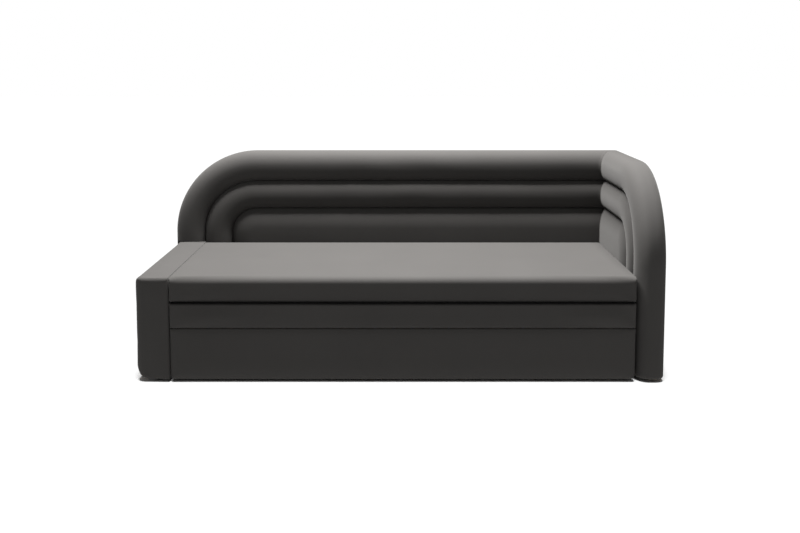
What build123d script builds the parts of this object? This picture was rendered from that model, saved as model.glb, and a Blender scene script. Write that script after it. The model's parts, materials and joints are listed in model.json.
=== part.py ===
"""Corner daybed with an arched channelled back and side, a flip-over mattress and a pull-out slatted base.

The origin is on the floor at the middle of the whole bed. +X runs to the right along the mattress,
+Y runs to the back and +Z runs up. Every length is in millimetres.
"""

from build123d import *
from math import isclose
import os

# ---------------------------------------------------------------- driving sizes
mattress_length = 1950
leaf_depth = 795
leaf_thickness = 106
leaf_gap = 6
slat_top = 230
arm_thickness = 143
side_thickness = 120
back_thickness = 120
arch_radius = 400
spring_rise = 42
roll_width = 138
roll_depth = 42
base_height = 11

# ---------------------------------------------------------------- clearances
side_clearance = 3
rear_clearance = 5
seam = 0.5
bolt_clearance = 0.2
screw_clearance = 0.1
axle_clearance = 0.05
sliding_clearance = 1
stop_clearance = 1
pad_clearance = 6
arm_top_clearance = 1
crease_offset = 2

# ---------------------------------------------------------------- boards, covers and strips
board = 16
cover = 6
edge_wrap = 30
edge_strip = 4
batten = 34
rail_height = 40
batten_pitch = 430
arm_padding = 22
arm_bottom_padding = 16
arm_inner_cover = 6

# ---------------------------------------------------------------- rounded edges
front_round = 40
rear_round = 25
groove_round = 28
arm_bottom_round = 50
arm_front_round = 40
arm_top_round = 20
seat_front_round = 36
leaf_edge_round = 9
leaf_corner_round = 15
panel_corner_round = 15

# ---------------------------------------------------------------- slatted base
fixed_slat_count = 13
slat_width = 68
fixed_slat_thickness = 18
pull_slat_thickness = 16
beam_depth = 30
beam_height = 60
beam_wall = 2
beam_setback = 43
rear_rail_depth = 40
rear_rail_height = 62
comb_clearance = 10
stop_margin = 9
stop_depth = 16
stop_drop = 22
stop_side_clearance = 8
slat_tail_clearance = 5

# ---------------------------------------------------------------- pull-out
drawer_padding = 14
drawer_board = 22
drawer_gap = 2
drawer_edge_cover = 6
runner_inset = 150
runner_width = 25
runner_wheel_gap = 12
runner_height = 70
crossbar_setback = 42
corner_block = 40
castor_front_inset = 74
castor_rear_inset = 30

# ---------------------------------------------------------------- castors
wheel_radius = 17.5
wheel_width = 16
axle_radius = 3
wheel_side_gap = 1
cheek = 2.5
cheek_half_depth = 12
cheek_below_axle = 8
plate_thickness = 3
plate_half_depth = 28
axle_overhang = 1.5
castor_screw_spread = 20
castor_screw_length = 17

# ---------------------------------------------------------------- fasteners and glides
bolt_radius = 4
bolt_head_radius = 7
bolt_head = 5
nut_radius = 7.5
nut_height = 6
side_bolt_length = 30
screw_radius = 2
screw_head_radius = 4
screw_head = 2.5
slat_screw_length = 34
bracket_plate = 5
bracket_drop = 20
bracket_tail = 20
beam_bolt_inset = 10
beam_bolt_spread = 40
bracket_pocket = 2
glide_radius = 20
glide_inset = 60
arm_glide_inset = 48
arm_bolt_heights = (120, 340)
side_bolt_heights = (150, 400, 700)
hinge_tape_depth = 50
hinge_tape_thickness = 4
hinge_tape_inset = 40

# ---------------------------------------------------------------- sizes that follow
overall_width = arm_thickness + mattress_length + 2 * side_clearance + side_thickness
overall_depth = leaf_depth + rear_clearance + back_thickness
seat_top = slat_top + 2 * leaf_thickness + leaf_gap
spring_height = seat_top + spring_rise
overall_height = spring_height + arch_radius
left = -overall_width / 2
right = overall_width / 2
front = -overall_depth / 2
rear = overall_depth / 2
tolerance = 0.01

arm_inner = left + arm_thickness
bed_left = arm_inner + side_clearance
bed_right = bed_left + mattress_length
bed_middle = (bed_left + bed_right) / 2
side_crest = bed_right + side_clearance
side_panel_face = side_crest + roll_depth
side_outer_face = right - cover
back_crest = rear - back_thickness
back_panel_face = back_crest + roll_depth
back_rear_face = rear - cover
panel_inset = edge_wrap + edge_strip
panel_bottom = base_height

leaf_rear = front + leaf_depth
lower_top = slat_top + leaf_thickness
upper_bottom = lower_top + leaf_gap
crease_y = front - crease_offset
crease_z = lower_top + leaf_gap / 2
pad_bottom = slat_top + pad_clearance

beam_top = slat_top - fixed_slat_thickness
beam_front = front + beam_setback
beam_rear = beam_front + beam_depth
beam_bottom = beam_top - beam_height
pull_slat_bottom = beam_top + sliding_clearance
pull_slat_top = pull_slat_bottom + pull_slat_thickness
slat_pitch = (mattress_length - slat_width) / (fixed_slat_count - 1)
pull_slat_width = slat_pitch - slat_width - 2 * comb_clearance
stop_width = pull_slat_width - 2 * stop_margin
rear_rail_front = back_panel_face - rear_rail_depth
fixed_slat_rear = back_panel_face - seam
pull_slat_rear = back_panel_face - slat_tail_clearance
stop_front = pull_slat_rear - stop_depth
travel = stop_front - beam_rear - stop_clearance

drawer_board_front = front + drawer_padding
drawer_board_rear = drawer_board_front + drawer_board
drawer_top = slat_top - drawer_gap
runner_bottom = 2 * wheel_radius + runner_wheel_gap + plate_thickness
runner_top = runner_bottom + runner_height
crossbar_y = rear_rail_front - crossbar_setback
castor_rows = (drawer_board_rear + castor_front_inset, crossbar_y - castor_rear_inset)
crossbar_rear = crossbar_y + runner_width
arm_rear = back_panel_face - seam
arm_cavity = (left + arm_padding, front + arm_padding, base_height + arm_bottom_padding)
arm_cavity_right = arm_inner - arm_inner_cover
arm_cavity_top = seat_top - arm_padding
arm_bolt_x = arm_cavity_right - board - batten


def add_box(low, high, mode=Mode.ADD):
    """Add a box, from its low corner to its high corner, to the part being built."""
    middle = ((low[0] + high[0]) / 2, (low[1] + high[1]) / 2)
    with BuildSketch(Plane.XY.offset(low[2])) as outline:
        with Locations(middle):
            Rectangle(high[0] - low[0], high[1] - low[1])
    extrude(outline.sketch, amount=high[2] - low[2], mode=mode)


def add_rod(plane, places, radius, length, mode=Mode.ADD):
    """Add round rods of one size at places on a plane, along its normal."""
    with BuildSketch(plane) as outline:
        with Locations(*places):
            Circle(radius)
    extrude(outline.sketch, amount=length, mode=mode)


def add_nuts(plane, places):
    """Add hexagon nuts at places on a plane, each bored for its bolt."""
    with BuildSketch(plane) as outline:
        with Locations(*places):
            RegularPolygon(nut_radius, 6)
            Circle(bolt_radius + bolt_clearance, mode=Mode.SUBTRACT)
    extrude(outline.sketch, amount=nut_height)


def arch_face(plane, edge, far, bottom, inset, width=None):
    """Draw an arch-ended panel, inset from its outer edge, or only a band of that width along the edge."""
    insets = [inset] if width is None else [inset, inset + width]
    with BuildSketch(plane) as face:
        for step, distance in enumerate(insets):
            near = edge + distance
            top = overall_height - distance
            turn = edge + arch_radius
            with BuildLine():
                Line((near, bottom), (near, spring_height))
                CenterArc((turn, spring_height), arch_radius - distance, 90, 90)
                Polyline((turn, top), (far, top), (far, bottom), (near, bottom))
            make_face(mode=Mode.SUBTRACT if step else Mode.ADD)
    return face.sketch


def back_plane(y):
    """Return the upright plane at this depth, which an extrusion leaves towards the front."""
    return Plane.XZ.offset(-y)


def side_plane(x):
    """Return the upright plane at this width, which an extrusion leaves towards the right."""
    return Plane.YZ.offset(x)


def outline_edges(face, along, edge, insets):
    """Return the edges of a face that follow the panel's outline at any of these insets."""

    def follows(curve):
        middle = curve @ 0.5
        across = middle.X if along == Axis.X else middle.Y
        for inset in insets:
            if curve.geom_type == GeomType.CIRCLE:
                if isclose(curve.radius, arch_radius - inset, abs_tol=tolerance):
                    return True
            elif isclose(across, edge + inset, abs_tol=tolerance):
                return True
            elif isclose(middle.Z, overall_height - inset, abs_tol=tolerance):
                return True
        return False

    return face.edges().filter_by(follows)


def finish(piece, name):
    """Label a finished piece and write it out."""
    piece.part.label = name
    export_step(piece.part, f"parts/{name}.step")


os.makedirs("parts", exist_ok=True)

# ================================================================ BACK
back_far = side_panel_face - seam
back_roll_far = side_crest - seam

back_panel_rears = {"back_front_panel": back_panel_face + board, "back_rear_panel": back_rear_face}
for name, panel_rear in back_panel_rears.items():
    with BuildPart() as back_panel:
        outline = arch_face(back_plane(panel_rear), left, back_far, panel_bottom, panel_inset)
        extrude(outline, amount=board)
        if name == "back_front_panel":
            holes = [(arm_bolt_x, height) for height in arm_bolt_heights]
            add_rod(back_plane(panel_rear), holes, bolt_radius + bolt_clearance, board, Mode.SUBTRACT)
    finish(back_panel, name)

batten_front = back_panel_face + board
batten_rear = back_rear_face - board
back_batten_low = panel_bottom + rail_height + seam
back_batten_high = overall_height - panel_inset - rail_height - seam
back_inner_left = left + panel_inset
back_end_batten = back_far - batten
with BuildPart() as back_battens:
    add_box(
        (back_inner_left, batten_front, panel_bottom),
        (back_far, batten_rear, panel_bottom + rail_height),
    )
    add_box(
        (left + arch_radius, batten_front, back_batten_high + seam),
        (back_far, batten_rear, overall_height - panel_inset),
    )
    add_box(
        (back_inner_left, batten_front, back_batten_low),
        (back_inner_left + batten, batten_rear, spring_height),
    )
    middle_span = back_end_batten - left - arch_radius
    middle_count = int(middle_span // batten_pitch) + 1
    for place in range(middle_count):
        batten_left = left + arch_radius + place * middle_span / middle_count
        add_box(
            (batten_left, batten_front, back_batten_low),
            (batten_left + batten, batten_rear, back_batten_high),
        )
    add_box((back_end_batten, batten_front, back_batten_low), (back_far, batten_rear, back_batten_high))
    bolt_places = [((batten_front + batten_rear) / 2, height) for height in side_bolt_heights]
    add_rod(side_plane(back_far - side_bolt_length), bolt_places, bolt_radius + bolt_clearance,
            side_bolt_length, Mode.SUBTRACT)
finish(back_battens, "back_battens")

with BuildPart() as back_edge:
    outline = arch_face(back_plane(back_rear_face), left, back_far, panel_bottom, edge_wrap + seam,
                        edge_strip - 2 * seam)
    extrude(outline, amount=back_rear_face - back_panel_face)
finish(back_edge, "back_edge_strip")

with BuildPart() as back_outer_roll:
    roll_bottom = seat_top + arm_top_clearance
    outline = arch_face(back_plane(back_panel_face), left, back_roll_far, roll_bottom, 0, roll_width - seam)
    extrude(outline, amount=roll_depth)
    outline = arch_face(back_plane(rear), left, back_roll_far, panel_bottom, 0, edge_wrap)
    extrude(outline, amount=rear - back_panel_face)
    crest = back_outer_roll.faces().filter_by(Axis.Y).sort_by(Axis.Y)[0]
    fillet(outline_edges(crest, Axis.X, left, [0]), front_round)
    crest = back_outer_roll.faces().filter_by(Axis.Y).sort_by(Axis.Y)[0]
    fillet(outline_edges(crest, Axis.X, left, [roll_width - seam]), groove_round)
    back_face = back_outer_roll.faces().filter_by(Axis.Y).sort_by(Axis.Y)[-1]
    fillet(outline_edges(back_face, Axis.X, left, [0]), rear_round)
finish(back_outer_roll, "back_outer_roll")

arm_notch_low = (left, back_crest - seam, panel_bottom)
arm_notch_high = (arm_inner + seam, back_panel_face, seat_top + arm_top_clearance)
with BuildPart() as back_middle_roll:
    outline = arch_face(back_plane(back_panel_face), left, back_roll_far, pad_bottom, roll_width + seam,
                        roll_width - 2 * seam)
    extrude(outline, amount=roll_depth)
    crest = back_middle_roll.faces().filter_by(Axis.Y).sort_by(Axis.Y)[0]
    fillet(outline_edges(crest, Axis.X, left, [roll_width + seam, 2 * roll_width - seam]), groove_round)
    add_box(arm_notch_low, arm_notch_high, Mode.SUBTRACT)
finish(back_middle_roll, "back_middle_roll")

with BuildPart() as back_inner_pad:
    outline = arch_face(back_plane(back_panel_face), left, back_roll_far, pad_bottom, 2 * roll_width + seam)
    extrude(outline, amount=roll_depth)
    crest = back_inner_pad.faces().filter_by(Axis.Y).sort_by(Axis.Y)[0]
    fillet(outline_edges(crest, Axis.X, left, [2 * roll_width + seam]), groove_round)
finish(back_inner_pad, "back_inner_pad")

with BuildPart() as back_rear_cover:
    outline = arch_face(back_plane(rear), left, back_far, panel_bottom, edge_wrap + seam)
    extrude(outline, amount=cover - seam)
finish(back_rear_cover, "back_rear_cover")

# ================================================================ SIDE
side_far = back_rear_face
side_roll_far = back_panel_face - seam
beam_bolt_y = beam_rear + beam_bolt_inset
beam_bolt_z = (beam_top - beam_bolt_inset - beam_bolt_spread, beam_top - beam_bolt_inset)
beam_bolt_places = [(beam_bolt_y, height) for height in beam_bolt_z]
batten_middle = (batten_front + batten_rear) / 2
side_bolt_places = [(batten_middle, height) for height in side_bolt_heights]

side_panel_lefts = {"side_inner_panel": side_panel_face, "side_outer_panel": side_outer_face - board}
for name, panel_left in side_panel_lefts.items():
    with BuildPart() as side_panel:
        outline = arch_face(side_plane(panel_left), front, side_far, panel_bottom, panel_inset)
        extrude(outline, amount=board)
        if name == "side_inner_panel":
            holes = beam_bolt_places + side_bolt_places
            add_rod(side_plane(panel_left), holes, bolt_radius + bolt_clearance, board, Mode.SUBTRACT)
    finish(side_panel, name)

side_batten_left = side_panel_face + board
side_batten_right = side_outer_face - board
side_inner_front = front + panel_inset
with BuildPart() as side_battens:
    add_box(
        (side_batten_left, side_inner_front, panel_bottom),
        (side_batten_right, side_far, panel_bottom + rail_height),
    )
    add_box(
        (side_batten_left, front + arch_radius, back_batten_high + seam),
        (side_batten_right, side_far, overall_height - panel_inset),
    )
    add_box(
        (side_batten_left, side_inner_front, back_batten_low),
        (side_batten_right, side_inner_front + batten, spring_height),
    )
    for batten_start in (front + arch_radius, side_far - batten):
        add_box(
            (side_batten_left, batten_start, back_batten_low),
            (side_batten_right, batten_start + batten, back_batten_high),
        )
    add_rod(side_plane(side_batten_left), side_bolt_places, bolt_head_radius + seam, bolt_head + seam,
            Mode.SUBTRACT)
finish(side_battens, "side_battens")

with BuildPart() as side_edge:
    outline = arch_face(side_plane(side_panel_face), front, side_far, panel_bottom, edge_wrap + seam,
                        edge_strip - 2 * seam)
    extrude(outline, amount=side_outer_face - side_panel_face)
finish(side_edge, "side_edge_strip")

with BuildPart() as side_outer_roll:
    outline = arch_face(side_plane(side_crest), front, side_roll_far, panel_bottom, 0, roll_width - seam)
    extrude(outline, amount=roll_depth - seam)
    outline = arch_face(side_plane(side_crest), front, rear, panel_bottom, 0, edge_wrap)
    extrude(outline, amount=right - side_crest)
    crest = side_outer_roll.faces().filter_by(Axis.X).sort_by(Axis.X)[0]
    fillet(outline_edges(crest, Axis.Y, front, [0]), front_round)
    crest = side_outer_roll.faces().filter_by(Axis.X).sort_by(Axis.X)[0]
    fillet(outline_edges(crest, Axis.Y, front, [roll_width - seam]), groove_round)
    outer_face = side_outer_roll.faces().filter_by(Axis.X).sort_by(Axis.X)[-1]
    fillet(outline_edges(outer_face, Axis.Y, front, [0]), rear_round)
    add_box(
        (side_crest, beam_front - bracket_pocket, beam_bottom - bracket_drop - bracket_pocket),
        (side_panel_face, beam_rear + bracket_tail + bracket_pocket, beam_top + bracket_pocket),
        Mode.SUBTRACT,
    )
finish(side_outer_roll, "side_outer_roll")

with BuildPart() as side_middle_roll:
    outline = arch_face(side_plane(side_crest), front, side_roll_far, pad_bottom, roll_width + seam,
                        roll_width - 2 * seam)
    extrude(outline, amount=roll_depth)
    crest = side_middle_roll.faces().filter_by(Axis.X).sort_by(Axis.X)[0]
    fillet(outline_edges(crest, Axis.Y, front, [roll_width + seam, 2 * roll_width - seam]), groove_round)
finish(side_middle_roll, "side_middle_roll")

with BuildPart() as side_inner_pad:
    outline = arch_face(side_plane(side_crest), front, side_roll_far, pad_bottom, 2 * roll_width + seam)
    extrude(outline, amount=roll_depth)
    crest = side_inner_pad.faces().filter_by(Axis.X).sort_by(Axis.X)[0]
    fillet(outline_edges(crest, Axis.Y, front, [2 * roll_width + seam]), groove_round)
finish(side_inner_pad, "side_inner_pad")

with BuildPart() as side_outer_cover:
    outline = arch_face(side_plane(side_outer_face + seam), front, rear, panel_bottom, edge_wrap + seam)
    extrude(outline, amount=cover - seam)
    add_box(
        (side_panel_face, side_far + seam, panel_bottom),
        (side_outer_face + seam, rear, overall_height - edge_wrap - seam),
    )
finish(side_outer_cover, "side_outer_cover")

# ================================================================ ARM
arm_board_right = arm_cavity_right - board
arm_board_left = arm_cavity[0] + board
arm_board_front = arm_cavity[1] + board
arm_board_rear = arm_rear - board
arm_bolt_places = [(arm_bolt_x, height) for height in arm_bolt_heights]
arm_boards = {
    "arm_outer_board": (arm_cavity, (arm_board_left, arm_rear, arm_cavity_top)),
    "arm_inner_board": (
        (arm_board_right, arm_cavity[1], arm_cavity[2]),
        (arm_cavity_right, arm_rear, arm_cavity_top),
    ),
    "arm_front_board": (
        (arm_board_left, arm_cavity[1], arm_cavity[2]),
        (arm_board_right, arm_board_front, arm_cavity_top),
    ),
    "arm_rear_board": (
        (arm_board_left, arm_board_rear, arm_cavity[2]),
        (arm_board_right, arm_rear, arm_cavity_top),
    ),
    "arm_top_board": (
        (arm_board_left, arm_board_front, arm_cavity_top - board),
        (arm_board_right, arm_board_rear, arm_cavity_top),
    ),
}
for name, (low, high) in arm_boards.items():
    with BuildPart() as arm_board:
        add_box(low, high)
        if name == "arm_inner_board":
            add_rod(side_plane(low[0]), beam_bolt_places, bolt_radius + bolt_clearance, board, Mode.SUBTRACT)
        if name == "arm_rear_board":
            add_rod(back_plane(high[1]), arm_bolt_places, bolt_radius + bolt_clearance, board, Mode.SUBTRACT)
    finish(arm_board, name)

with BuildPart() as arm_bottom_battens:
    batten_span = arm_board_rear - arm_board_front - batten
    for share in (0, 0.5, 1):
        batten_near = arm_board_front + share * batten_span
        add_box(
            (arm_board_left, batten_near, arm_cavity[2]),
            (arm_board_right, batten_near + batten, arm_cavity[2] + rail_height),
        )
finish(arm_bottom_battens, "arm_bottom_battens")

with BuildPart() as arm_cover:
    add_box((left, front, base_height), (arm_inner, arm_rear, seat_top))
    outer_edges = arm_cover.faces().sort_by(Axis.X)[0].edges()
    fillet(outer_edges.filter_by(Axis.Y).sort_by(Axis.Z)[0], arm_bottom_round)
    front_edges = arm_cover.faces().sort_by(Axis.Y)[0].edges()
    fillet(front_edges.filter_by(Axis.Z).sort_by(Axis.X)[0], arm_front_round)
    top_face = arm_cover.faces().sort_by(Axis.Z)[-1]
    soft_edges = top_face.edges().filter_by(lambda curve: (curve @ 0.5).Y < arm_rear - tolerance)
    soft_edges = soft_edges.filter_by(lambda curve: (curve @ 0.5).X < arm_inner - tolerance)
    fillet(soft_edges, arm_top_round)
    add_box(arm_cavity, (arm_cavity_right, arm_rear, arm_cavity_top), Mode.SUBTRACT)
    add_rod(side_plane(arm_cavity_right), beam_bolt_places, bolt_radius + bolt_clearance, arm_inner_cover,
            Mode.SUBTRACT)
finish(arm_cover, "arm_cover")

# ================================================================ SLATTED BASE
fixed_slat_places = [bed_left + slat_width / 2 + place * slat_pitch for place in range(fixed_slat_count)]
pull_slat_places = [place + slat_pitch / 2 for place in fixed_slat_places[:-1]]
beam_left = arm_inner + bracket_plate
beam_right = side_panel_face - bracket_plate
fixed_screw_rows = (beam_front + beam_depth / 2, rear_rail_front + rear_rail_depth / 2)

with BuildPart() as rear_slat_rail:
    add_box(
        (arm_inner + seam, rear_rail_front, beam_top - rear_rail_height),
        (side_panel_face - seam, back_panel_face - seam, beam_top),
    )
    notch_half = stop_width / 2 + stop_side_clearance
    for place in pull_slat_places:
        add_box(
            (place - notch_half, rear_rail_front, beam_top - stop_drop),
            (place + notch_half, back_panel_face, beam_top),
            Mode.SUBTRACT,
        )
    places = [(place, fixed_screw_rows[1]) for place in fixed_slat_places]
    screw_bottom = slat_top - slat_screw_length
    add_rod(Plane.XY.offset(screw_bottom), places, screw_radius + screw_clearance,
            slat_screw_length - fixed_slat_thickness, Mode.SUBTRACT)
finish(rear_slat_rail, "rear_slat_rail")

with BuildPart() as front_beam:
    add_box((beam_left, beam_front, beam_bottom), (beam_right, beam_rear, beam_top))
    add_box(
        (beam_left, beam_front + beam_wall, beam_bottom + beam_wall),
        (beam_right, beam_rear - beam_wall, beam_top - beam_wall),
        Mode.SUBTRACT,
    )
    places = [(place, fixed_screw_rows[0]) for place in fixed_slat_places]
    add_rod(Plane.XY.offset(beam_top - beam_wall), places, screw_radius + screw_clearance, beam_wall,
            Mode.SUBTRACT)
finish(front_beam, "front_beam")

with BuildPart() as beam_end_brackets:
    for bracket_left in (arm_inner, beam_right):
        add_box(
            (bracket_left, beam_front, beam_bottom - bracket_drop),
            (bracket_left + bracket_plate, beam_rear + bracket_tail, beam_top),
        )
        add_rod(side_plane(bracket_left), beam_bolt_places, bolt_radius + bolt_clearance, bracket_plate,
                Mode.SUBTRACT)
finish(beam_end_brackets, "beam_end_brackets")

beam_bolt_reach = bracket_plate + arm_inner_cover + board + nut_height
with BuildPart() as beam_bolts:
    add_rod(side_plane(beam_left - beam_bolt_reach), beam_bolt_places, bolt_radius, beam_bolt_reach)
    add_rod(side_plane(beam_left), beam_bolt_places, bolt_head_radius, bolt_head)
    add_rod(side_plane(beam_right), beam_bolt_places, bolt_radius, bracket_plate + board + nut_height)
    add_rod(side_plane(beam_right - bolt_head), beam_bolt_places, bolt_head_radius, bolt_head)
finish(beam_bolts, "beam_bolts")

with BuildPart() as frame_nuts:
    add_nuts(side_plane(arm_board_right - nut_height), beam_bolt_places)
    add_nuts(side_plane(side_panel_face + board), beam_bolt_places)
    add_nuts(back_plane(back_panel_face + board + nut_height), arm_bolt_places)
finish(frame_nuts, "frame_nuts")

with BuildPart() as frame_bolts:
    arm_bolt_length = board + seam + board + nut_height
    arm_bolt_end = back_panel_face + board + nut_height
    add_rod(back_plane(arm_bolt_end), arm_bolt_places, bolt_radius, arm_bolt_length)
    add_rod(back_plane(arm_board_rear), arm_bolt_places, bolt_head_radius, bolt_head)
    side_bolt_start = back_far - side_bolt_length
    side_bolt_reach = side_panel_face + board - side_bolt_start
    add_rod(side_plane(side_bolt_start), side_bolt_places, bolt_radius, side_bolt_reach)
    add_rod(side_plane(side_panel_face + board), side_bolt_places, bolt_head_radius, bolt_head)
finish(frame_bolts, "frame_bolts")


def add_slats(places, width, reach, bottom, top, screw_rows):
    """Add a row of slats of one size, countersunk for their screws; reach is their front and rear ends."""
    for place in places:
        add_box((place - width / 2, reach[0], bottom), (place + width / 2, reach[1], top))
    holes = [(place, row) for place in places for row in screw_rows]
    add_rod(Plane.XY.offset(bottom), holes, screw_radius + screw_clearance, top - bottom, Mode.SUBTRACT)
    with BuildSketch(Plane.XY.offset(top)) as sinks:
        with Locations(*holes):
            Circle(screw_head_radius + screw_clearance)
    extrude(sinks.sketch, amount=-screw_head, mode=Mode.SUBTRACT)


def add_screws(places, screw_rows, top, length):
    """Add flat-headed screws whose heads lie flush with a slat's top."""
    spots = [(place, row) for place in places for row in screw_rows]
    add_rod(Plane.XY.offset(top - screw_head), spots, screw_head_radius, screw_head)
    add_rod(Plane.XY.offset(top - length), spots, screw_radius, length - screw_head)


with BuildPart() as fixed_slats:
    fixed_reach = (beam_front, fixed_slat_rear)
    add_slats(fixed_slat_places, slat_width, fixed_reach, beam_top, slat_top, fixed_screw_rows)
finish(fixed_slats, "fixed_slats")

with BuildPart() as fixed_slat_screws:
    add_screws(fixed_slat_places, fixed_screw_rows, slat_top, slat_screw_length)
finish(fixed_slat_screws, "fixed_slat_screws")

# ================================================================ GLIDES
arm_glide_x = arm_inner - arm_glide_inset
side_glide_x = (side_batten_left + side_batten_right) / 2
glide_groups = {
    "arm_glides": [
        (arm_glide_x, front + glide_inset),
        (arm_glide_x, arm_rear - glide_inset),
    ],
    "side_glides": [
        (side_glide_x, front + glide_inset),
        (side_glide_x, rear - glide_inset),
    ],
    "back_glides": [
        (left + panel_inset + glide_inset, batten_middle),
        (bed_middle, batten_middle),
        (back_far - glide_inset, batten_middle),
    ],
}
for name, places in glide_groups.items():
    with BuildPart() as glides:
        add_rod(Plane.XY, places, glide_radius, base_height)
    finish(glides, name)

# ================================================================ MATTRESS
for name, bottom in (("lower_mattress", slat_top), ("upper_mattress", upper_bottom)):
    with BuildPart() as leaf:
        add_box((bed_left, front, bottom), (bed_right, leaf_rear, bottom + leaf_thickness))
        fillet(leaf.edges().filter_by(Axis.Z), leaf_corner_round)
        if name == "upper_mattress":
            crown = leaf.faces().sort_by(Axis.Z)[-1].edges()
            fillet(crown.filter_by(Axis.X).sort_by(Axis.Y)[0], seat_front_round)
    finish(leaf, name)

with BuildPart() as hinge_tape:
    add_box(
        (bed_left + hinge_tape_inset, front, crease_z - hinge_tape_thickness / 2),
        (bed_right - hinge_tape_inset, front + hinge_tape_depth, crease_z + hinge_tape_thickness / 2),
    )
finish(hinge_tape, "mattress_hinge_tape")

# ================================================================ PULL-OUT
board_left = bed_left + drawer_edge_cover
board_right = bed_right - drawer_edge_cover
board_bottom = base_height + drawer_edge_cover
pull_slat_front = drawer_board_front + seam
pull_screw_rows = (drawer_board_front + drawer_board / 2, stop_front + stop_depth / 2)

with BuildPart() as drawer_front_board:
    add_box(
        (board_left, drawer_board_front, board_bottom),
        (board_right, drawer_board_rear, pull_slat_bottom),
    )
    places = [(place, pull_screw_rows[0]) for place in pull_slat_places]
    screw_bottom = pull_slat_top - slat_screw_length
    add_rod(Plane.XY.offset(screw_bottom), places, screw_radius + screw_clearance,
            pull_slat_bottom - screw_bottom, Mode.SUBTRACT)
finish(drawer_front_board, "drawer_front_board")

with BuildPart() as drawer_front_cover:
    add_box((bed_left, front, base_height), (bed_right, drawer_board_rear, drawer_top))
    low_corners = drawer_front_cover.edges().filter_by(Axis.Y).group_by(Axis.Z)[0]
    fillet(low_corners, panel_corner_round)
    outer = drawer_front_cover.faces().sort_by(Axis.Y)[0].edges()
    fillet(outer, leaf_edge_round)
    add_box(
        (board_left, drawer_board_front, board_bottom),
        (board_right, drawer_board_rear, drawer_top),
        Mode.SUBTRACT,
    )
finish(drawer_front_cover, "drawer_front_cover")

with BuildPart() as pullout_slats:
    pull_reach = (pull_slat_front, pull_slat_rear)
    add_slats(pull_slat_places, pull_slat_width, pull_reach, pull_slat_bottom, pull_slat_top, pull_screw_rows)
finish(pullout_slats, "pullout_slats")

stop_bottom = pull_slat_bottom - stop_drop
with BuildPart() as slat_stop_blocks:
    for place in pull_slat_places:
        add_box(
            (place - stop_width / 2, stop_front, stop_bottom),
            (place + stop_width / 2, pull_slat_rear, pull_slat_bottom),
        )
    places = [(place, pull_screw_rows[1]) for place in pull_slat_places]
    screw_bottom = pull_slat_top - slat_screw_length
    add_rod(Plane.XY.offset(screw_bottom), places, screw_radius + screw_clearance,
            pull_slat_bottom - screw_bottom, Mode.SUBTRACT)
finish(slat_stop_blocks, "slat_stop_blocks")

with BuildPart() as pullout_slat_screws:
    add_screws(pull_slat_places, pull_screw_rows, pull_slat_top, slat_screw_length)
finish(pullout_slat_screws, "pullout_slat_screws")

runner_middles = {"left_runner": bed_left + runner_inset, "right_runner": bed_right - runner_inset}
screw_spreads = (-castor_screw_spread, castor_screw_spread)
castor_screw_rows = [row + spread for row in castor_rows for spread in screw_spreads]
castor_screw_bottom = runner_bottom - plate_thickness
for name, middle in runner_middles.items():
    with BuildPart() as runner:
        add_box(
            (middle - runner_width / 2, drawer_board_rear, runner_bottom),
            (middle + runner_width / 2, crossbar_y, runner_top),
        )
        places = [(middle, row) for row in castor_screw_rows]
        add_rod(Plane.XY.offset(runner_bottom), places, screw_radius + screw_clearance,
                castor_screw_length - plate_thickness, Mode.SUBTRACT)
    finish(runner, name)

left_runner_x = runner_middles["left_runner"]
right_runner_x = runner_middles["right_runner"]
with BuildPart() as rear_crossbar:
    add_box(
        (left_runner_x - runner_width / 2, crossbar_y, runner_bottom),
        (right_runner_x + runner_width / 2, crossbar_rear, runner_top),
    )
finish(rear_crossbar, "rear_crossbar")

with BuildPart() as corner_blocks:
    for block_left in (left_runner_x + runner_width / 2, right_runner_x - runner_width / 2 - corner_block):
        for near in (drawer_board_rear, crossbar_y - corner_block):
            add_box(
                (block_left, near, runner_bottom),
                (block_left + corner_block, near + corner_block, runner_top),
            )
finish(corner_blocks, "corner_blocks")

# ================================================================ CASTORS
cheek_inner = wheel_width / 2 + wheel_side_gap
cheek_outer = cheek_inner + cheek
castor_places = [(middle, row) for middle in runner_middles.values() for row in castor_rows]
with BuildPart() as castor_forks:
    for middle, row in castor_places:
        add_box(
            (middle - runner_width / 2, row - plate_half_depth, runner_bottom - plate_thickness),
            (middle + runner_width / 2, row + plate_half_depth, runner_bottom),
        )
        for cheek_left in (middle - cheek_outer, middle + cheek_inner):
            add_box(
                (cheek_left, row - cheek_half_depth, wheel_radius - cheek_below_axle),
                (cheek_left + cheek, row + cheek_half_depth, runner_bottom - plate_thickness),
            )
            add_rod(side_plane(cheek_left), [(row, wheel_radius)], axle_radius + axle_clearance, cheek,
                    Mode.SUBTRACT)
    places = [(middle, row) for middle in runner_middles.values() for row in castor_screw_rows]
    add_rod(Plane.XY.offset(castor_screw_bottom), places, screw_radius + screw_clearance, plate_thickness,
            Mode.SUBTRACT)
finish(castor_forks, "castor_forks")

with BuildPart() as castor_axles:
    for middle, row in castor_places:
        add_rod(side_plane(middle - cheek_outer - axle_overhang), [(row, wheel_radius)], axle_radius,
                2 * (cheek_outer + axle_overhang))
finish(castor_axles, "castor_axles")

with BuildPart() as castor_screws:
    places = [(middle, row) for middle in runner_middles.values() for row in castor_screw_rows]
    add_rod(Plane.XY.offset(castor_screw_bottom), places, screw_radius, castor_screw_length)
    add_rod(Plane.XY.offset(castor_screw_bottom - screw_head), places, screw_head_radius, screw_head)
finish(castor_screws, "castor_screws")

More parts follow.
